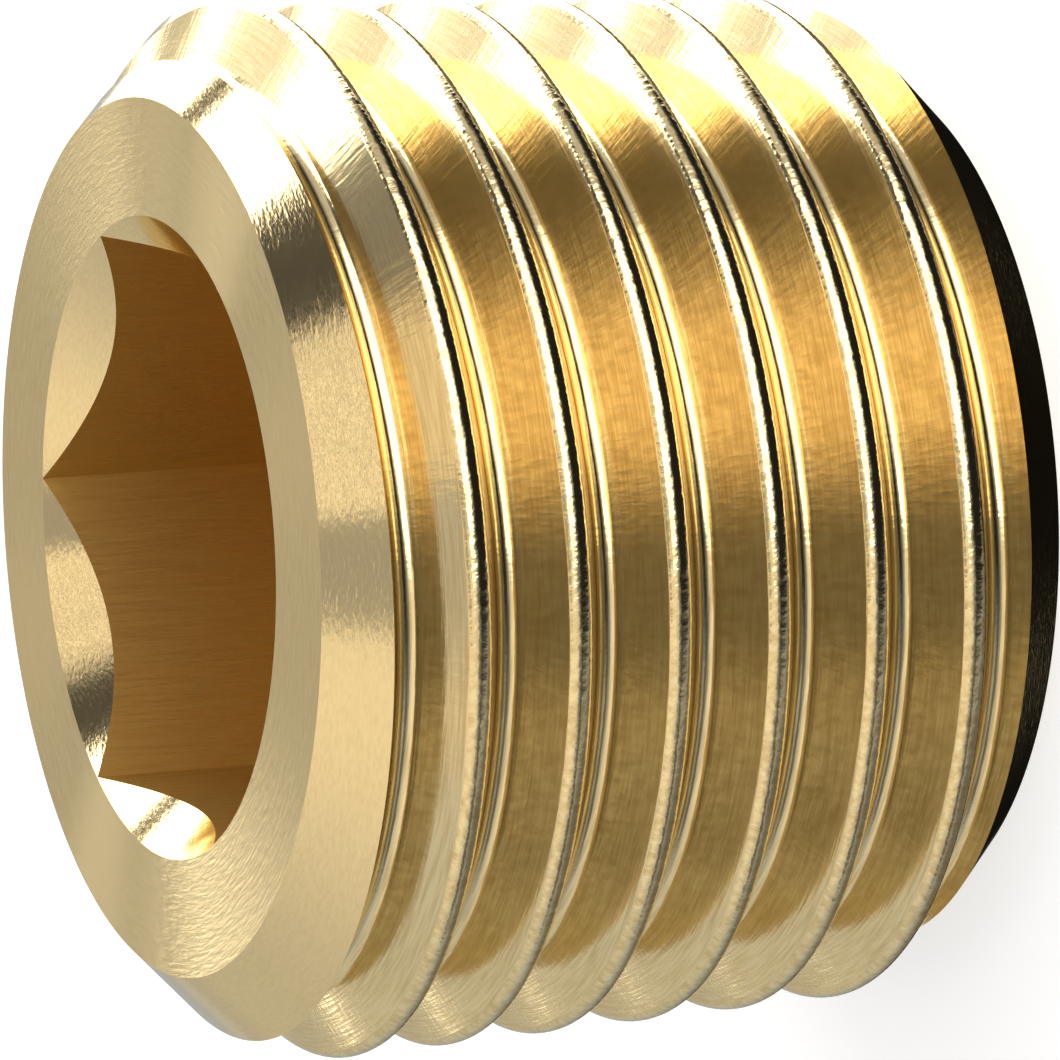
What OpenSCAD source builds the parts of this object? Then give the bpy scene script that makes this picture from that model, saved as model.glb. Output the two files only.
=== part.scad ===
// Hex socket plug: a headless taper-threaded pipe plug, turned from one piece of brass bar.
// It is driven by a hexagon key and stands on its small end. Millimetres, +Z towards the socket.

/* [Thread] */
// Thread pitch, 19 turns to the inch
pitch = 1.337; // [1:0.001:1.6]
// Major diameter of the thread at the gauge plane
gauge_d = 13.157; // [12.5:0.001:14]
// Height of the gauge plane above the small end
gauge_height = 4.7; // [3:0.1:7]
// Millimetres of length for each millimetre of diameter that the thread gains
taper_run = 16; // [12:1:40]
// Angle between the two flanks of the thread
flank_angle = 55; // [50:1:60]
// Height of a crest above the small end, over the corner of the hexagon that lies on X
first_crest = 0.797; // [0:0.001:1.3]

/* [Body] */
// Length of the plug from end to end
length = 10; // [8:0.1:14]
// Diameter of the flat ring round the socket
face_d = 11.05; // [10:0.05:12]
// Diameter of the flat small end
end_d = 10.5; // [9:0.05:11.5]
// Angle between the axis and the chamfer at either end
chamfer_angle = 45; // [35:1:55]

/* [Socket] */
// Width of the hexagon across its flats
flats_w = 7; // [5:0.05:8]
// Depth of the hexagon below the face
socket_depth = 5; // [3:0.1:6]
// Angle between the axis and the countersink that opens the hexagon
countersink_angle = 45; // [30:1:60]
// Diameter of the hole drilled before the hexagon was broached
drill_d = 6.8; // [4:0.05:6.9]
// Depth of the drilled hole's wall below the bottom of the hexagon
drill_extra = 0.4; // [0:0.1:1]
// Angle of the drill's point
drill_point = 118; // [110:1:140]

/* [Detail] */
// Points round one turn of the thread
turn_steps = 48; // [24:1:48]
// Steps round each crest and each root
round_steps = 4; // [2:2:4]

/* [Hidden] */
brass = "#c3a463";
smooth = 96;

// Whitworth form: a triangle with a sixth of its height rounded off at crest and root
half_flank = flank_angle / 2;
sharp_h = pitch / (2 * tan(half_flank));
thread_h = sharp_h * 2 / 3;
tip_r = sharp_h / 6 / (1 / sin(half_flank) - 1);
round_half = 90 - half_flank;

// The thread's first and last turns clear both ends, so that the turned blank trims them off
start_turn = -1 - ceil(first_crest / pitch);
last_turn = ceil((length - first_crest + tip_r) / pitch);
turn_count = last_turn - start_turn;

corner_r = flats_w / 2 / cos(30);
overcut = 0.5;

// Crest radius at a height above the small end
function crest_r(z) = gauge_d / 2 + (z - gauge_height) / taper_run / 2;

// Points of one pitch as [height from the crest, depth below the crest]
function arc_angle(k) = round_half * (2 * k / round_steps - 1);
form = concat(
    [for (k = [0 : round_steps])
        [tip_r * sin(arc_angle(k)), tip_r * (1 - cos(arc_angle(k)))]],
    [for (k = [0 : round_steps])
        [pitch / 2 + tip_r * sin(arc_angle(k)), thread_h - tip_r * (1 - cos(arc_angle(k)))]]
);
form_n = len(form);
rows = form_n * turn_count;

// Point on the thread: column i is the angle, row j runs up the profile turn after turn
function thread_point(i, j) =
    let (
        step = form[j % form_n],
        turn = start_turn + floor(j / form_n) + i / turn_steps,
        z = first_crest + pitch * turn + step[0],
        r = crest_r(z) - step[1],
        a = 360 * i / turn_steps
    )
    [r * cos(a), r * sin(a), z];

// Index of a point, where the last column is followed by the first one, a pitch higher
function at(i, j) = i < turn_steps ? j * turn_steps + i : (j + form_n) * turn_steps;

// Threaded bar, longer than the plug, as a skin of triangles that follows the helix
module threaded_bar() {
    points = [for (j = [0 : rows], i = [0 : turn_steps - 1]) thread_point(i, j)];
    low = len(points);
    high = low + 1;
    low_z = first_crest + pitch * (start_turn + 0.5);
    high_z = first_crest + pitch * (start_turn + turn_count - 0.5);

    skin = [
        for (j = [0 : rows - 1], i = [0 : turn_steps - 1])
            if (i < turn_steps - 1 || j < rows - form_n)
                for (half = [0, 1])
                    half == 0
                        ? [at(i, j), at(i + 1, j + 1), at(i + 1, j)]
                        : [at(i, j), at(i, j + 1), at(i + 1, j + 1)]
    ];
    low_rim = [for (i = [0 : turn_steps - 1]) [at(i, 0), at(i + 1, 0), low]];
    low_step = [for (j = [0 : form_n - 1]) [at(0, j + 1), at(0, j), low]];
    high_rim = [for (i = [0 : turn_steps - 2]) [at(i + 1, rows), at(i, rows), high]];
    high_step = [
        for (j = [0 : form_n - 1])
            let (row = rows - form_n + j)
            [at(turn_steps - 1, row), at(turn_steps - 1, row + 1), high]
    ];
    high_seam = [[at(0, rows), at(turn_steps - 1, rows - form_n), high]];

    polyhedron(
        points = concat(points, [[0, 0, low_z], [0, 0, high_z]]),
        faces = concat(skin, low_rim, low_step, high_rim, high_step, high_seam)
    );
}

// Blank with a flat face, a flat small end and a chamfer at either end
module turned_blank() {
    reach = crest_r(length) + overcut;
    face_rise = (reach - face_d / 2) / tan(chamfer_angle);
    end_rise = (reach - end_d / 2) / tan(chamfer_angle);
    rotate_extrude($fn = smooth)
        polygon([
            [0, 0],
            [end_d / 2, 0],
            [reach, end_rise],
            [reach, length - face_rise],
            [face_d / 2, length],
            [0, length]
        ]);
}

// Broached hexagon over its drilled hole, with the countersink that just reaches the corners
module hex_socket() {
    floor_z = length - socket_depth;
    wall_z = floor_z - drill_extra;
    point_h = drill_d / 2 / tan(drill_point / 2);
    countersink_h = corner_r / tan(countersink_angle);

    translate([0, 0, floor_z])
        cylinder(h = socket_depth + overcut, r = corner_r, $fn = 6);
    rotate_extrude($fn = smooth)
        polygon([
            [0, wall_z - point_h],
            [drill_d / 2, wall_z],
            [drill_d / 2, floor_z + overcut],
            [0, floor_z + overcut]
        ]);
    translate([0, 0, length])
        rotate_extrude($fn = smooth)
            polygon([
                [0, -countersink_h],
                [corner_r, 0],
                [corner_r, overcut],
                [0, overcut]
            ]);
}

// The whole plug
module plug_body() {
    color(brass)
        difference() {
            intersection() {
                threaded_bar();
                turned_blank();
            }
            hex_socket();
        }
}

plug_body();
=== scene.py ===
"""Looks of a brass hex socket plug: a headless pipe plug with a taper thread and a hexagon socket.

The plug stands on its small end with the socket up. All sizes are in millimetres until a mesh is
finished, and every mesh is then scaled to metres.
"""

import logging
import math
from dataclasses import dataclass, field
from enum import Enum

import bmesh
import bpy
from mathutils import Matrix, Vector

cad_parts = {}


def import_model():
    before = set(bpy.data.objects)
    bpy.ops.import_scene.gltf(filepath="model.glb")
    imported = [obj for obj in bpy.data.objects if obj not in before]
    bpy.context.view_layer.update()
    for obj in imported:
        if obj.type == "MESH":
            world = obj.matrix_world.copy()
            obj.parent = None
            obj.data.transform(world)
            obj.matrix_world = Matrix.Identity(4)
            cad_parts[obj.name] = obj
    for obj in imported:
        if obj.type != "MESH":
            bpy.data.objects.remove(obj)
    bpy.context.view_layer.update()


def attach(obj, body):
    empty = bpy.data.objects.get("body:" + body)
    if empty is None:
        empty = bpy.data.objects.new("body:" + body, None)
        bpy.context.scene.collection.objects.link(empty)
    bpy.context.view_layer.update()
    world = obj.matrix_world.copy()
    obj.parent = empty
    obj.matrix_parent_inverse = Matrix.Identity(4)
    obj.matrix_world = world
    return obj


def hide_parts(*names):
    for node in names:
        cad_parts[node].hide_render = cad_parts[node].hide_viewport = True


LOG = logging.getLogger("plug")

MM = 0.001
WHITE = (1.0, 1.0, 1.0, 1.0)

# Points that a bmesh operator draws nearer than this, in millimetres, are one point.
SAME_POINT = 1e-4

# Glossy Depth counts the reflections from 1 on, so the first one is below this.
FIRST_REFLECTION = 1.5


class Axis(Enum):
    """An axis that something is spun about or measured along, as a unit vector."""

    Y = (0.0, 1.0, 0.0)
    Z = (0.0, 0.0, 1.0)


def linear(hex_colour: str) -> tuple[float, float, float, float]:
    """Turns an sRGB hex colour to linear light.

    Args:
        hex_colour: The colour as "#rrggbb".

    Returns:
        Red, green, blue and an alpha of 1.
    """
    def channel(value: int) -> float:
        """Turns one channel of 0 to 255 to linear."""
        share = value / 255
        return share / 12.92 if share <= 0.04045 else ((share + 0.055) / 1.055) ** 2.4

    digits = hex_colour.lstrip("#")
    red, green, blue = (channel(int(digits[i:i + 2], 16)) for i in (0, 2, 4))
    return red, green, blue, 1.0


def weld(bm: bmesh.types.BMesh, gap: float) -> None:
    """Joins points nearer than a gap, and drops the edges and faces that then have no size.

    Args:
        bm: The mesh.
        gap: The distance, in the mesh's own unit.
    """
    bmesh.ops.remove_doubles(bm, verts=bm.verts, dist=gap)
    bmesh.ops.dissolve_degenerate(bm, edges=bm.edges, dist=gap / 10)


def place(bm: bmesh.types.BMesh, name: str) -> bpy.types.Object:
    """Makes an object of a mesh drawn in millimetres, with its place in its vertices.

    Args:
        bm: The mesh. It is freed.
        name: The object's name.

    Returns:
        The new object, at the origin.
    """
    bmesh.ops.scale(bm, vec=(MM, MM, MM), verts=bm.verts)
    mesh = bpy.data.meshes.new(name)
    bm.to_mesh(mesh)
    bm.free()
    made = bpy.data.objects.new(name, mesh)
    bpy.context.scene.collection.objects.link(made)
    return made


@dataclass(frozen=True)
class ThreadForm:
    """Whitworth pipe thread on a taper: a triangle with a sixth rounded off at crest and root.

    Sizes are in millimetres and degrees. The thread's diameter is gauge_d at gauge_height above
    the small end, and first_crest is the height of a crest over the hexagon's corner on X. The
    steps are those round each crest and root, and round one turn.
    """

    pitch: float = 1.337
    flank_angle: float = 55.0
    gauge_d: float = 13.157
    gauge_height: float = 4.7
    taper_run: float = 16.0
    first_crest: float = 0.797
    round_steps: int = 14
    turn_steps: int = 180

    @property
    def half_flank(self) -> float:
        """Angle between a flank and the plane across the axis, in radians."""
        return math.radians(self.flank_angle / 2)

    @property
    def sharp_height(self) -> float:
        """Height of the triangle that the form is cut from."""
        return self.pitch / (2 * math.tan(self.half_flank))

    @property
    def height(self) -> float:
        """Height from root to crest."""
        return self.sharp_height * 2 / 3

    @property
    def tip_r(self) -> float:
        """Radius of the round at each crest and root."""
        return self.sharp_height / 6 / (1 / math.sin(self.half_flank) - 1)

    @property
    def round_half(self) -> float:
        """Half the angle that a crest's round turns through, in radians."""
        return math.pi / 2 - self.half_flank

    def crest_r(self, height: float) -> float:
        """Crest radius at a height above the small end."""
        return self.gauge_d / 2 + (height - self.gauge_height) / self.taper_run / 2

    def draw_pitch(self, bm: bmesh.types.BMesh) -> None:
        """Draws one pitch from root to root as a line in the plane of X and Z.

        Args:
            bm: The mesh that gets the line.
        """
        crest = self.gauge_d / 2
        root = crest - self.height
        low_root = Vector((root + self.tip_r, 0, 0))
        high_root = low_root + Vector((0, 0, self.pitch))
        peak = Vector((crest - self.tip_r, 0, self.pitch / 2))
        half = self.round_half
        rim = self.tip_r * Vector((math.cos(half), 0, math.sin(half)))
        arc = {"axis": Axis.Y.value, "dvec": (0, 0, 0), "use_duplicate": False}
        steps = self.round_steps

        start = bm.verts.new((root, 0, 0))
        last = bmesh.ops.spin(bm, geom=[start], cent=low_root, angle=half, steps=steps // 2, **arc)
        for centre, turn, count, offset in (
            (peak, -2 * half, steps, Vector((rim.x, 0, -rim.z))),
            (high_root, half, steps // 2, -rim),
        ):
            end = next(part for part in last["geom_last"] if isinstance(part, bmesh.types.BMVert))
            flank = bmesh.ops.extrude_vert_indiv(bm, verts=[end])["verts"][0]
            flank.co = centre + offset
            last = bmesh.ops.spin(bm, geom=[flank], cent=centre, angle=turn, steps=count, **arc)

    def bar(self, low: float, high: float) -> bmesh.types.BMesh:
        """Makes a closed threaded bar that runs past two heights.

        Args:
            low: Height that the lower end is to clear.
            high: Height that the upper end is to clear.

        Returns:
            The bar, with its helix's phase set by first_crest.
        """
        bm = bmesh.new()
        self.draw_pitch(bm)
        turn = bm.verts[:] + bm.edges[:]
        first = math.floor((low - self.first_crest) / self.pitch) - 1
        last = math.ceil((high - self.first_crest) / self.pitch) + 1
        for number in range(1, last - first):
            copy = bmesh.ops.duplicate(bm, geom=turn)["geom"]
            moved = [part for part in copy if isinstance(part, bmesh.types.BMVert)]
            bmesh.ops.translate(bm, verts=moved, vec=(0, 0, number * self.pitch))
        bmesh.ops.remove_doubles(bm, verts=bm.verts, dist=SAME_POINT)
        start = self.first_crest + self.pitch * (first - 0.5)
        bmesh.ops.translate(bm, verts=bm.verts, vec=(0, 0, start))

        bmesh.ops.spin(
            bm, geom=bm.verts[:] + bm.edges[:], cent=(0, 0, 0), axis=Axis.Z.value,
            dvec=(0, 0, self.pitch / self.turn_steps), angle=2 * math.pi,
            steps=self.turn_steps, use_merge=False, use_duplicate=False,
        )
        bmesh.ops.remove_doubles(bm, verts=bm.verts, dist=SAME_POINT)
        self.close_ends(bm)
        for vert in bm.verts:
            radius = vert.co.xy.length
            if radius > 0:
                grown = radius + self.crest_r(vert.co.z) - self.gauge_d / 2
                vert.co.xy *= grown / radius
        bmesh.ops.recalc_face_normals(bm, faces=bm.faces)
        return bm

    def close_ends(self, bm: bmesh.types.BMesh) -> None:
        """Closes both ends of the bar with a fan to the axis.

        Args:
            bm: The open bar.
        """
        middle = sum(vert.co.z for vert in bm.verts) / len(bm.verts)
        rims = [edge for edge in bm.edges if edge.is_boundary]
        for rim in (
            [edge for edge in rims if edge.verts[0].co.z < middle],
            [edge for edge in rims if edge.verts[0].co.z >= middle],
        ):
            grown = bmesh.ops.extrude_edge_only(bm, edges=rim)["geom"]
            tips = [part for part in grown if isinstance(part, bmesh.types.BMVert)]
            height = sum(vert.co.z for vert in tips) / len(tips)
            bmesh.ops.pointmerge(bm, verts=tips, merge_co=(0, 0, height))


def revolve(outline: list[tuple[float, float]], steps: int) -> bmesh.types.BMesh:
    """Spins an outline about the plug's axis into a closed solid.

    Args:
        outline: Corners as radius and height, from the axis back to the axis.
        steps: Faces round a full turn.

    Returns:
        The solid, with its faces outwards.
    """
    bm = bmesh.new()
    end = bm.verts.new((outline[0][0], 0, outline[0][1]))
    for radius, height in outline[1:]:
        end = bmesh.ops.extrude_vert_indiv(bm, verts=[end])["verts"][0]
        end.co = (radius, 0, height)
    bmesh.ops.spin(
        bm, geom=bm.verts[:] + bm.edges[:], cent=(0, 0, 0), axis=Axis.Z.value,
        dvec=(0, 0, 0), angle=2 * math.pi, steps=steps, use_merge=True, use_duplicate=False,
    )
    weld(bm, SAME_POINT)
    bmesh.ops.recalc_face_normals(bm, faces=bm.faces)
    return bm


class Cut(Enum):
    """How one solid changes another."""

    KEEP_INSIDE = "INTERSECT"
    TAKE_AWAY = "DIFFERENCE"


def cut(solid: bpy.types.Object, tool: bpy.types.Object, how: Cut) -> None:
    """Changes a solid with a tool, and removes the tool.

    Args:
        solid: The solid, whose mesh is replaced.
        tool: The solid that cuts it.
        how: Whether the inside of the tool is kept or taken away.
    """
    modifier = solid.modifiers.new(tool.name, "BOOLEAN")
    modifier.operation = how.value
    modifier.solver = "EXACT"
    modifier.object = tool
    graph = bpy.context.evaluated_depsgraph_get()
    shaped = bpy.data.meshes.new_from_object(solid.evaluated_get(graph))
    solid.modifiers.clear()
    solid.data = shaped
    shaped.name = solid.name
    bpy.data.objects.remove(tool)


class Surface(Enum):
    """A kind of surface on the plug, as the place of its finish among the plug's materials."""

    THREAD = 0
    CREST = 1
    TRAILING = 2
    CHAMFER = 3
    FACE = 4
    BROACHED = 5


@dataclass
class Plug:
    """The plug's one piece: turned blank, taper thread and broached socket.

    Sizes are in millimetres and degrees. The last four fields tell the kinds of surface apart, by
    how far a face looks up or down, from 0 to 1, and by how far it lies in from either end.
    """

    thread: ThreadForm = field(default_factory=ThreadForm)
    length: float = 10.0
    face_d: float = 11.05
    end_d: float = 10.5
    chamfer_angle: float = 45.0
    flats_w: float = 7.0
    socket_depth: float = 5.0
    countersink_angle: float = 45.0
    drill_d: float = 6.8
    drill_extra: float = 0.4
    drill_point: float = 118.0
    turn_steps: int = 360
    overcut: float = 0.5
    cut_gap: float = 1e-3
    sharp_angle: float = 12.0
    chamfer_slope_error: float = 0.003
    flat_slope: float = 0.999
    flank_slope: float = 0.8
    end_margin: float = 1e-3

    @property
    def corner_r(self) -> float:
        """Radius of the circle through the hexagon's corners."""
        return self.flats_w / 2 / math.cos(math.radians(30))

    def blank(self) -> bpy.types.Object:
        """Makes the turned blank: flat ends with a chamfer at each.

        Returns:
            The blank, which is wider than the thread between its chamfers.
        """
        reach = self.thread.crest_r(self.length) + self.overcut
        slope = math.tan(math.radians(self.chamfer_angle))
        outline = [
            (0, 0),
            (self.end_d / 2, 0),
            (reach, (reach - self.end_d / 2) / slope),
            (reach, self.length - (reach - self.face_d / 2) / slope),
            (self.face_d / 2, self.length),
            (0, self.length),
        ]
        return place(revolve(outline, self.turn_steps), "blank")

    def hexagon(self) -> bpy.types.Object:
        """Makes the broached hexagon's prism, with a corner on X.

        Returns:
            The prism, which stands out of the face.
        """
        bm = bmesh.new()
        height = self.socket_depth + self.overcut
        bmesh.ops.create_cone(
            bm, cap_ends=True, cap_tris=False, segments=6,
            radius1=self.corner_r, radius2=self.corner_r, depth=height,
        )
        bmesh.ops.rotate(
            bm, verts=bm.verts, cent=(0, 0, 0), matrix=Matrix.Rotation(math.radians(30), 3, "Z"),
        )
        lift = self.length - self.socket_depth + height / 2
        bmesh.ops.translate(bm, verts=bm.verts, vec=(0, 0, lift))
        return place(bm, "hexagon")

    def drilling(self) -> bpy.types.Object:
        """Makes the drilled hole that lies under the hexagon.

        Returns:
            The hole's cylinder over the cone of the drill's point.
        """
        wall = self.length - self.socket_depth - self.drill_extra
        point = self.drill_d / 2 / math.tan(math.radians(self.drill_point / 2))
        top = self.length - self.socket_depth + self.overcut
        radius = self.drill_d / 2
        outline = [(0, wall - point), (radius, wall), (radius, top), (0, top)]
        return place(revolve(outline, self.turn_steps), "drilling")

    def countersink(self) -> bpy.types.Object:
        """Makes the cone that opens the hexagon and just reaches its corners.

        Returns:
            The cone, with a short cylinder on it that stands out of the face.
        """
        depth = self.corner_r / math.tan(math.radians(self.countersink_angle))
        top = self.length + self.overcut
        outline = [
            (0, self.length - depth),
            (self.corner_r, self.length),
            (self.corner_r, top),
            (0, top),
        ]
        return place(revolve(outline, self.turn_steps), "countersink")

    def build(self) -> bpy.types.Object:
        """Builds the plug from its thread, blank and socket.

        Returns:
            The plug, with its faces outwards and its edges crisp.
        """
        plug = place(self.thread.bar(0, self.length), "turned_plug")
        cut(plug, self.blank(), Cut.KEEP_INSIDE)
        for tool in (self.hexagon(), self.drilling(), self.countersink()):
            cut(plug, tool, Cut.TAKE_AWAY)
        bm = bmesh.new()
        bm.from_mesh(plug.data)
        weld(bm, self.cut_gap * MM)
        for face in bm.faces:
            face.smooth = True
        bm.to_mesh(plug.data)
        bm.free()
        plug.data.set_sharp_from_angle(angle=math.radians(self.sharp_angle))
        return plug

    def surface(self, face: bpy.types.MeshPolygon) -> Surface:
        """Tells which kind of surface a face of the finished mesh belongs to.

        Args:
            face: The face, in metres.

        Returns:
            Its kind. The countersink counts as a chamfer, and the drilled hole as broached.
        """
        middle = face.center / MM
        slope = face.normal.z
        chamfer_slope = math.cos(math.radians(self.chamfer_angle))
        if abs(abs(slope) - chamfer_slope) < self.chamfer_slope_error:
            return Surface.CHAMFER
        if middle.xy.length < self.corner_r and middle.z < self.length - self.end_margin:
            return Surface.FACE if middle.z < self.end_margin else Surface.BROACHED
        if abs(slope) > self.flat_slope:
            return Surface.FACE
        if abs(slope) > self.flank_slope:
            return Surface.TRAILING if slope < 0 else Surface.THREAD
        depth = self.thread.crest_r(middle.z) - middle.xy.length
        return Surface.CREST if depth < self.thread.height / 2 else Surface.THREAD

    def dress(self, plug: bpy.types.Object) -> None:
        """Gives the plug its finishes, and each of its faces the one of its kind of surface.

        Args:
            plug: The finished plug.
        """
        for surface in Surface:
            plug.data.materials.append(FINISHES[surface].material())
        for face in plug.data.polygons:
            face.material_index = self.surface(face).value


def add(
    tree: bpy.types.NodeTree, kind: str, links: dict[str | int, object], **settings: object,
) -> bpy.types.Node:
    """Adds a node with its settings and links.

    Args:
        tree: The node tree.
        kind: The node's type.
        links: For each input, by name or number, the socket that feeds it or its value.
        **settings: Values for the node's own properties.

    Returns:
        The new node.
    """
    node = tree.nodes.new(kind)
    for name, value in settings.items():
        setattr(node, name, value)
    for name, source in links.items():
        if isinstance(source, bpy.types.NodeSocket):
            tree.links.new(source, node.inputs[name])
        else:
            node.inputs[name].default_value = source
    return node


def bare_material(name: str) -> bpy.types.Material:
    """Makes a material whose node tree is empty.

    Args:
        name: The material's name.

    Returns:
        The new material.
    """
    material = bpy.data.materials.new(name)
    material.use_nodes = True
    material.node_tree.nodes.clear()
    return material


@dataclass(frozen=True)
class Marks:
    """Fine marks that a cutting tool leaves, as noise with no seam.

    A mark's sizes are in millimetres: round the plug at the thread's radius, along the radius and
    along the axis. Its depth is how far the highest point stands over the lowest. The finest
    marks of the real tools don't show in the render, so these are as coarse as it needs.
    """

    around: float
    radial: float
    axial: float
    depth: float
    octaves: float = 2.0
    thread_r: float = 6.5

    def height(self, tree: bpy.types.NodeTree, spot: bpy.types.NodeSocket) -> bpy.types.NodeSocket:
        """Adds the noise.

        Args:
            tree: The node tree.
            spot: The point in the piece's own frame.

        Returns:
            The height of the marks, from 0 to 1.
        """
        flat = add(tree, "ShaderNodeVectorMath", {0: spot, 1: (1, 1, 0)}, operation="MULTIPLY")
        outward = add(tree, "ShaderNodeVectorMath", {0: flat.outputs[0]}, operation="NORMALIZE")
        ring = add(
            tree, "ShaderNodeVectorMath",
            {0: outward.outputs[0], "Scale": self.thread_r / self.around}, operation="SCALE",
        )
        length = add(tree, "ShaderNodeVectorMath", {0: flat.outputs[0]}, operation="LENGTH")
        radius = add(
            tree, "ShaderNodeMath", {0: length.outputs["Value"], 1: 1 / (self.radial * MM)},
            operation="MULTIPLY",
        )
        rise = add(tree, "ShaderNodeCombineXYZ", {"Z": radius.outputs[0]})
        point = add(
            tree, "ShaderNodeVectorMath", {0: ring.outputs[0], 1: rise.outputs[0]}, operation="ADD",
        )
        parts = add(tree, "ShaderNodeSeparateXYZ", {0: spot})
        up = add(
            tree, "ShaderNodeMath", {0: parts.outputs["Z"], 1: 1 / (self.axial * MM)},
            operation="MULTIPLY",
        )
        noise = add(
            tree, "ShaderNodeTexNoise",
            {"Vector": point.outputs[0], "W": up.outputs[0], "Scale": 1.0,
             "Detail": self.octaves},
            noise_dimensions="4D",
        )
        return noise.outputs[0]


@dataclass(frozen=True)
class CutBrass:
    """Free-cutting brass as a tool leaves it: bright metal, with fine marks that catch the light.

    The first marks also tarnish the colour a little and roughen it where they lie deep: all below
    one share of their height, and not at all above another.
    """

    name: str
    marks: tuple[Marks, ...]
    bright: str = "#fae3ae"
    dull: str = "#e2c993"
    edge_tint: str = "#fcf6e4"
    smooth: float = 0.16
    rough: float = 0.24
    anisotropy: float = 0.0
    tarnish_below: float = 0.32
    clean_above: float = 0.62

    def material(self) -> bpy.types.Material:
        """Makes the material: its colour and roughness, its marks as bump, and its grain.

        Returns:
            The new material.
        """
        material = bare_material(self.name)
        tree = material.node_tree
        spot = add(tree, "ShaderNodeTexCoord", {}).outputs["Object"]
        shader = add(
            tree, "ShaderNodeBsdfPrincipled",
            {
                "Metallic": 1.0, "Specular Tint": linear(self.edge_tint),
                "Anisotropic": self.anisotropy,
            },
        )
        heights = [marks.height(tree, spot) for marks in self.marks]
        self.tarnish(tree, heights[0], shader)
        beneath: dict[str, bpy.types.NodeSocket] = {}
        for marks, height in zip(self.marks, heights):
            bump = add(
                tree, "ShaderNodeBump",
                {"Height": height, "Distance": marks.depth * MM, **beneath},
            )
            beneath = {"Normal": bump.outputs[0]}
        tree.links.new(beneath["Normal"], shader.inputs["Normal"])
        if self.anisotropy:
            radial = add(
                tree, "ShaderNodeVectorMath", {0: spot, 1: (1, 1, 0)}, operation="MULTIPLY",
            )
            tree.links.new(radial.outputs[0], shader.inputs["Tangent"])
        add(tree, "ShaderNodeOutputMaterial", {"Surface": shader.outputs[0]})
        return material

    def tarnish(
        self, tree: bpy.types.NodeTree, height: bpy.types.NodeSocket, shader: bpy.types.Node,
    ) -> None:
        """Links the colour and the roughness to the height of the marks.

        Args:
            tree: The node tree.
            height: The height of the first marks, from 0 to 1.
            shader: The shader that takes the colour and the roughness.
        """
        share = add(
            tree, "ShaderNodeMapRange",
            {"Value": height, "From Min": self.tarnish_below, "From Max": self.clean_above},
        ).outputs[0]
        colour = add(
            tree, "ShaderNodeMix", {0: share, 6: linear(self.dull), 7: linear(self.bright)},
            data_type="RGBA",
        )
        rough = add(
            tree, "ShaderNodeMix", {0: share, 2: self.rough, 3: self.smooth}, data_type="FLOAT",
        )
        tree.links.new(colour.outputs[2], shader.inputs["Base Color"])
        tree.links.new(rough.outputs[0], shader.inputs["Roughness"])


FINISHES: dict[Surface, CutBrass] = {
    # A die draws streaks along the thread and leaves faint chatter across it.
    Surface.THREAD: CutBrass(
        "threaded_brass",
        (
            Marks(around=0.8, radial=0.035, axial=0.035, depth=0.0015),
            Marks(around=0.09, radial=0.4, axial=0.4, depth=0.0034),
        ),
        bright="#fbe6b2", dull="#e4ca94", smooth=0.12, rough=0.18,
    ),
    # The chatter is deepest on the crests, which it breaks up into beads.
    Surface.CREST: CutBrass(
        "crest_brass",
        (
            Marks(around=0.11, radial=0.16, axial=0.16, depth=0.014),
            Marks(around=0.30, radial=0.05, axial=0.05, depth=0.0015),
        ),
        bright="#fbe6b2", dull="#e2c893", smooth=0.12, rough=0.18,
    ),
    # The flank that trails the die is torn a little, so it is rougher than the leading one. Its
    # darker colour and edge tint are painted shade on these downward-facing flanks.
    Surface.TRAILING: CutBrass(
        "torn_and_shaded_brass",
        (
            Marks(around=0.09, radial=0.2, axial=0.2, depth=0.005),
            Marks(around=0.30, radial=0.035, axial=0.035, depth=0.003),
        ),
        bright="#ecd29c", dull="#d2b67f", edge_tint="#e6dcc4", smooth=0.16, rough=0.22,
    ),
    # A chamfering tool leaves streaks in rings.
    Surface.CHAMFER: CutBrass(
        "chamfered_brass", (Marks(around=0.16, radial=0.04, axial=0.04, depth=0.0036),),
        bright="#f7dfaa", dull="#efd7a2", smooth=0.10, rough=0.14,
    ),
    # Facing leaves fine rings, which spread a highlight along the radius.
    Surface.FACE: CutBrass(
        "faced_brass",
        (
            Marks(around=0.40, radial=0.05, axial=0.05, depth=0.0085),
            Marks(around=0.15, radial=0.12, axial=0.12, depth=0.0014),
        ),
        bright="#f7dfaa", dull="#ecd49e", smooth=0.22, rough=0.27, anisotropy=1.0,
    ),
    # A broach scrapes the hexagon, so it is rough, with faint lines along the axis. Its darker
    # colour is painted shade in the socket. The drilled hole under it can hardly be seen and has
    # the same finish.
    Surface.BROACHED: CutBrass(
        "broached_and_shaded_brass", (Marks(around=0.06, radial=0.06, axial=0.8, depth=0.0015),),
        bright="#daba6e", dull="#cba960", smooth=0.36, rough=0.44,
    ),
}


def toward(azimuth: float, elevation: float) -> Vector:
    """Turns two angles to a direction.

    Args:
        azimuth: Degrees from +X towards +Y.
        elevation: Degrees above the floor.

    Returns:
        The direction, as a unit vector.
    """
    flat = math.cos(math.radians(elevation))
    turn = math.radians(azimuth)
    return Vector((math.cos(turn) * flat, math.sin(turn) * flat, math.sin(math.radians(elevation))))


class Seen(Enum):
    """Which reflections show a card."""

    ALL = "all"
    FIRST = "first"


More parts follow.
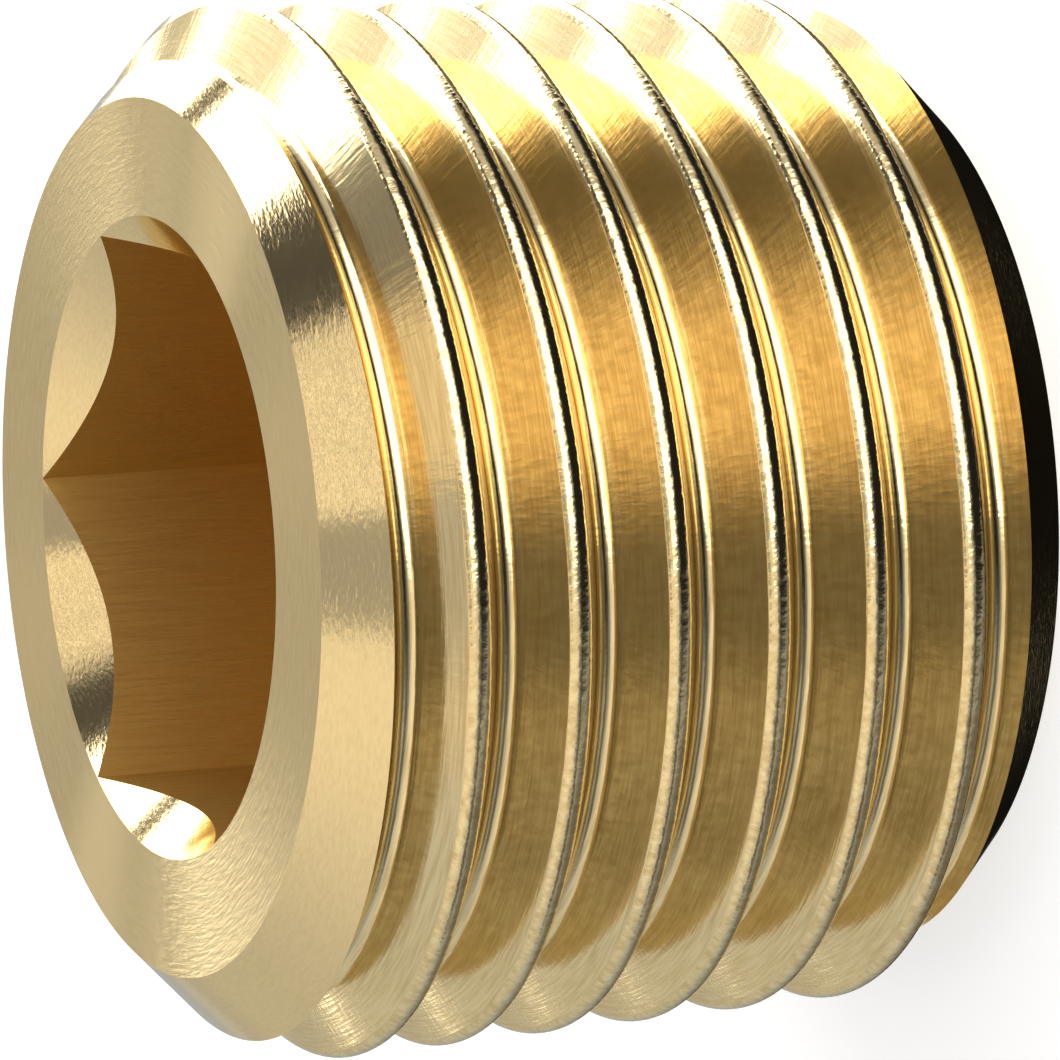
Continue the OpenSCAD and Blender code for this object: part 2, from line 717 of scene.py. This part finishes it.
@dataclass(frozen=True)
class Softbox:
    """A rectangular lamp that faces the plug.

    Azimuths and elevations are in degrees, seen from the plug, and the brightness is what a
    mirror would show, where 1 is white.
    """

    name: str
    west: float
    east: float
    low: float
    high: float
    brightness: float
    distance: float = 400.0

    def hang(self, aim: Vector) -> None:
        """Hangs the lamp so that it faces a point.

        Args:
            aim: The point, in millimetres.
        """
        outward = toward((self.west + self.east) / 2, (self.low + self.high) / 2)
        width = 2 * self.distance * math.tan(math.radians(self.east - self.west) / 2)
        height = 2 * self.distance * math.tan(math.radians(self.high - self.low) / 2)
        data = bpy.data.lights.new(self.name, "AREA")
        data.shape = "RECTANGLE"
        data.size = width * MM
        data.size_y = height * MM
        data.energy = self.brightness * math.pi * width * height * MM ** 2
        lamp = bpy.data.objects.new(self.name, data)
        bpy.context.scene.collection.objects.link(lamp)
        lamp.location = (aim + outward * self.distance) * MM
        lamp.rotation_euler = outward.to_track_quat("Z", "Y").to_euler()


@dataclass(frozen=True)
class Card:
    """A studio card that only reflections show: a piece of a sphere round the plug's foot.

    Azimuths and elevations are in degrees, distances in millimetres, and the brightness is what a
    mirror would show, where 1 is white. The soft shares say how far in from its west, east, low
    and high edges the card fades out. Its lean is the degrees that it turns east with each degree
    of elevation. A nearer card hides a farther one.
    """

    name: str
    brightness: float
    west: float
    east: float
    tint: str = "#ffffff"
    soft: tuple[float, float, float, float] = (0.0, 0.0, 0.0, 0.0)
    low: float = -3.0
    high: float = 90.0
    distance: float = 300.0
    lean: float = 0.0
    seen: Seen = Seen.ALL
    columns: int = 36
    rows: int = 18

    def where(self, across: float, up: float) -> Vector:
        """Gives a point of the card.

        Args:
            across: The share of its width, from west to east.
            up: The share of its height, from low to high.

        Returns:
            The point, in millimetres from the middle of the plug's foot.
        """
        elevation = self.low + (self.high - self.low) * up
        azimuth = self.west + (self.east - self.west) * across + self.lean * (elevation - self.low)
        return toward(azimuth, elevation) * self.distance

    def cover(self, across: float, up: float) -> float:
        """Gives how much the card hides of what lies behind it.

        Args:
            across: The share of its width, from west to east.
            up: The share of its height, from low to high.

        Returns:
            A share from 0 to 1, which falls smoothly towards each soft edge.
        """
        share = 1.0
        for inwards, width in zip((across, 1 - across, up, 1 - up), self.soft):
            if inwards < width:
                step = inwards / width
                share *= step * step * (3 - 2 * step)
        return share

    def put(self) -> None:
        """Makes the card and hides it from all but reflections.

        It is drawn as a square with sides of 1, and each of its points then goes to its place.
        """
        bm = bmesh.new()
        bmesh.ops.create_grid(bm, x_segments=self.columns, y_segments=self.rows, size=0.5)
        layer = bm.verts.layers.float.new("cover")
        for vert in bm.verts:
            across, up = vert.co.x + 0.5, vert.co.y + 0.5
            vert[layer] = self.cover(across, up)
            vert.co = self.where(across, up)
        card = place(bm, self.name)
        card.data.materials.append(self.material())
        card.visible_camera = False
        card.visible_diffuse = False
        card.visible_transmission = False
        card.visible_shadow = False

    def material(self) -> bpy.types.Material:
        """Makes the card's light, which fades out at its soft edges.

        Returns:
            The new material.
        """
        material = bare_material(self.name)
        tree = material.node_tree
        shown = add(tree, "ShaderNodeAttribute", {}, attribute_name="cover").outputs["Fac"]
        if self.seen is Seen.FIRST:
            depth = add(tree, "ShaderNodeLightPath", {}).outputs["Glossy Depth"]
            first = add(
                tree, "ShaderNodeMath", {0: depth, 1: FIRST_REFLECTION}, operation="LESS_THAN",
            )
            shown = add(
                tree, "ShaderNodeMath", {0: shown, 1: first.outputs[0]}, operation="MULTIPLY",
            ).outputs[0]
        clear = add(tree, "ShaderNodeBsdfTransparent", {})
        glow = add(
            tree, "ShaderNodeEmission", {"Color": linear(self.tint), "Strength": self.brightness},
        )
        mixed = add(
            tree, "ShaderNodeMixShader", {0: shown, 1: clear.outputs[0], 2: glow.outputs[0]},
        )
        add(tree, "ShaderNodeOutputMaterial", {"Surface": mixed.outputs[0]})
        return material


SOFTBOXES: tuple[Softbox, ...] = (
    Softbox("front_softbox", -117, -40, 2, 47, 1.7),
    Softbox("side_softbox", -8, 28, 2, 50, 3.2),
    Softbox("low_side_softbox", 29, 48, 2, 20, 2.8),
)

CARDS: tuple[Card, ...] = (
    # The room: walls and a ceiling, with the farther ones behind the nearer ones.
    Card("back_wall", 0.56, -270, 90, low=-4, high=90, distance=960),
    Card("ceiling", 0.86, -180, 180, "#ffeed0", (0, 0, 0.35, 0), low=57, distance=940),
    Card("left_wall", 0.95, -250, -112, "#fff7e9", (0.55, 0.08, 0.5, 0.1), low=-4, high=74,
         distance=920),
    Card("front_wall", 1.0, -106, -34, "#fff7e9", (0.08, 0.08, 0, 0.1), high=76, distance=900),
    Card("face_wall", 0.47, 58, 104, soft=(0, 0.4, 0, 0.3), high=52, distance=900),
    # A hot patch that the face mirrors as a streak of light.
    Card("face_glow", 4.2, 81, 98, soft=(0.15, 0.15, 0, 0.95), low=14.5, high=50, distance=885),
    # Slats and strips of light overhead, which streak the flanks of the thread.
    Card("ceiling_slat", 0.45, -108, -32, "#fff7e9", (0.08, 0.08, 0.1, 0.1), low=59.5, high=62,
         distance=865),
    Card("ceiling_light_strip", 1.3, -108, -32, "#fff7e9", (0.08, 0.08, 0.1, 0.1), low=62,
         high=65.5, distance=864),
    Card("high_ceiling_slat", 0.45, -108, -32, "#fff7e9", (0.08, 0.08, 0.1, 0.1), low=65.5,
         high=68.5, distance=863),
    Card("high_light_strip", 1.3, -108, -32, "#fff7e9", (0.08, 0.08, 0.1, 0.1), low=68.5, high=72,
         distance=862),
    # Grey and dark flags, which give the brass its contrast, and the wall past the side lamps.
    Card("grey_streak", 0.38, -152, -101, soft=(0.08, 0.08, 0.3, 0), low=55, high=90, distance=890),
    Card("far_grey_streak", 0.48, 60, 146, soft=(0.15, 0.15, 0.55, 0), low=60, high=90,
         distance=890),
    Card("gap", 0.55, -41, -8, soft=(0.1, 0.1, 0, 0), high=44, distance=880),
    Card("far_side_wall", 1.2, 27, 50, high=52, distance=880),
    Card("lamp_gap_flag", 0.03, 18, 27, soft=(0.1, 0.1, 0, 0.6), low=10, high=40, distance=320,
         lean=0.42),
    Card("top_seam", 0.3, -38, -24, low=62, high=73, distance=895, lean=-7.7),
    Card("dark_top_flag", 0.07, -41.5, -4, soft=(0.14, 0, 0.1, 0.05), low=36, high=59),
    Card("dark_side_flag", 0.22, -32, 36, soft=(0.05, 0.1, 0, 0.25), low=50, high=72, distance=310),
    # The floor as the brass shows it, because the real floor is hidden from reflections.
    Card("back_floor", 0.56, -302, -150, "#e6f0ff", (0, 0.2, 0, 0.1), low=-90, high=2,
         distance=950),
    Card("left_floor", 0.26, -188, -88, "#e6f0ff", (0.46, 0.12, 0, 0.08), low=-90, high=11,
         distance=870),
    Card("dark_floor", 0.15, -75, -5, soft=(0.1, 0.1, 0, 0.1), low=-90, high=4, distance=860),
    Card("horizon_floor", 0.13, -215, -95, soft=(0.2, 0.1, 0.2, 0.1), low=-22, high=-4,
         distance=845),
    Card("front_floor", 1.25, -118, -40, "#fff0da", (0.44, 0.36, 0, 0), low=-90, high=-24,
         distance=850),
    Card("far_front_floor", 1.75, -118, -28, soft=(0.51, 0.49, 0.15, 0), low=-28, high=4,
         distance=840),
    Card("side_floor", 4.8, -6, 60, soft=(0.1, 0.05, 0.03, 0), low=-90, high=4, distance=830),
    # Painted shade: dark cards that only a first reflection shows, in place of the shaded floor
    # round the plug's foot.
    Card("under_card", 0.015, -158, 10, soft=(0.2, 0.08, 0, 0.15), seen=Seen.FIRST, low=-90,
         high=-4, distance=820),
    Card("side_under_card", 0.16, -2, 80, soft=(0.1, 0.1, 0, 0.1), seen=Seen.FIRST, low=-90,
         high=-21, distance=810),
    Card("back_under_card", 0.17, 85, 215, soft=(0.1, 0.3, 0, 0.4), seen=Seen.FIRST, low=-90,
         high=-8, distance=805),
    Card("foot_card", 0.005, 44, 98, soft=(0.08, 0.08, 0, 0.1), seen=Seen.FIRST, low=-90, high=-22,
         distance=800),
)


@dataclass
class Studio:
    """Floor, lights and camera.

    Angles are in degrees. The camera's distance, lens and aim, and half the floor's side, are in
    millimetres.
    """

    azimuth: float = -107.535
    elevation: float = 22.666
    roll: float = 94.117
    distance: float = 143.70
    aim: tuple[float, float, float] = (-0.223, 0.077, 4.934)
    lens: float = 384.6
    sensor_width: float = 36.0
    nearest: float = 10.0
    farthest: float = 10000.0
    surround: float = 0.5
    floor_half: float = 2000.0
    floor_colour: str = "#c8c8c8"
    floor_glow: float = 0.65
    softboxes: tuple[Softbox, ...] = SOFTBOXES
    cards: tuple[Card, ...] = CARDS

    def camera(self) -> None:
        """Places the camera as the photograph's, which lies on its side."""
        outward = toward(self.azimuth, self.elevation)
        level = (Vector(Axis.Z.value) - outward * outward.z).normalized()
        side = level.cross(outward)
        roll = math.radians(self.roll)
        up = level * math.cos(roll) + side * math.sin(roll)
        right = up.cross(outward)
        turned = Matrix((right, up, outward)).transposed().to_4x4()
        where = (Vector(self.aim) + outward * self.distance) * MM
        data = bpy.data.cameras.new("camera")
        data.lens = self.lens
        data.sensor_width = self.sensor_width
        data.clip_start = self.nearest * MM
        data.clip_end = self.farthest * MM
        camera = bpy.data.objects.new("camera", data)
        bpy.context.scene.collection.objects.link(camera)
        camera.matrix_world = Matrix.Translation(where) @ turned
        bpy.context.scene.camera = camera

    def background(self, tree: bpy.types.NodeTree) -> bpy.types.NodeSocket:
        """Adds the nodes that tell which rays see the plain white background.

        Args:
            tree: The node tree.

        Returns:
            A socket that is 1 for the camera, mirrors and glass, and 0 for other light.
        """
        path = add(tree, "ShaderNodeLightPath", {})
        mirrors = add(
            tree, "ShaderNodeMath",
            {0: path.outputs["Is Glossy Ray"], 1: path.outputs["Is Transmission Ray"]},
            operation="MAXIMUM",
        )
        return add(
            tree, "ShaderNodeMath", {0: path.outputs["Is Camera Ray"], 1: mirrors.outputs[0]},
            operation="MAXIMUM",
        ).outputs[0]

    def floor(self) -> None:
        """Lays the plain pale floor that the plug stands on.

        Its own colour takes the shadow, and the rest of its white is added where it is seen as
        the background. The plug's reflections see the cards below the horizon in its place.
        """
        bm = bmesh.new()
        bmesh.ops.create_grid(bm, x_segments=1, y_segments=1, size=self.floor_half)
        floor = place(bm, "floor")
        material = bare_material("pale_floor")
        tree = material.node_tree
        matt = add(tree, "ShaderNodeBsdfDiffuse", {"Color": linear(self.floor_colour)})
        white = add(
            tree, "ShaderNodeMath", {0: self.background(tree), 1: self.floor_glow},
            operation="MULTIPLY",
        )
        glow = add(tree, "ShaderNodeEmission", {"Color": WHITE, "Strength": white.outputs[0]})
        both = add(tree, "ShaderNodeAddShader", {0: matt.outputs[0], 1: glow.outputs[0]})
        add(tree, "ShaderNodeOutputMaterial", {"Surface": both.outputs[0]})
        floor.data.materials.append(material)
        floor.visible_glossy = False

    def light(self) -> None:
        """Sets the room's even light and hangs the softboxes and cards."""
        world = bpy.data.worlds.new("studio")
        world.use_nodes = True
        tree = world.node_tree
        white = self.background(tree)
        strength = add(
            tree, "ShaderNodeMix", {0: white, 2: self.surround, 3: 1.0}, data_type="FLOAT",
        )
        tree.links.new(strength.outputs[0], tree.nodes["Background"].inputs["Strength"])
        tree.nodes["Background"].inputs["Color"].default_value = WHITE
        bpy.context.scene.world = world
        for softbox in self.softboxes:
            softbox.hang(Vector(self.aim))
        for card in self.cards:
            card.put()


def main() -> None:
    """Builds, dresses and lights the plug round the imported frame."""
    logging.basicConfig(level=logging.INFO, format="%(name)s: %(message)s")
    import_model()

    maker = Plug()
    plug = maker.build()
    maker.dress(plug)
    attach(plug, "root")
    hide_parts("plug_body")
    LOG.info("%s: %d faces", plug.name, len(plug.data.polygons))

    studio = Studio()
    studio.floor()
    studio.light()
    studio.camera()
    bpy.context.scene.view_settings.view_transform = "Standard"


if __name__ == "__main__":
    main()
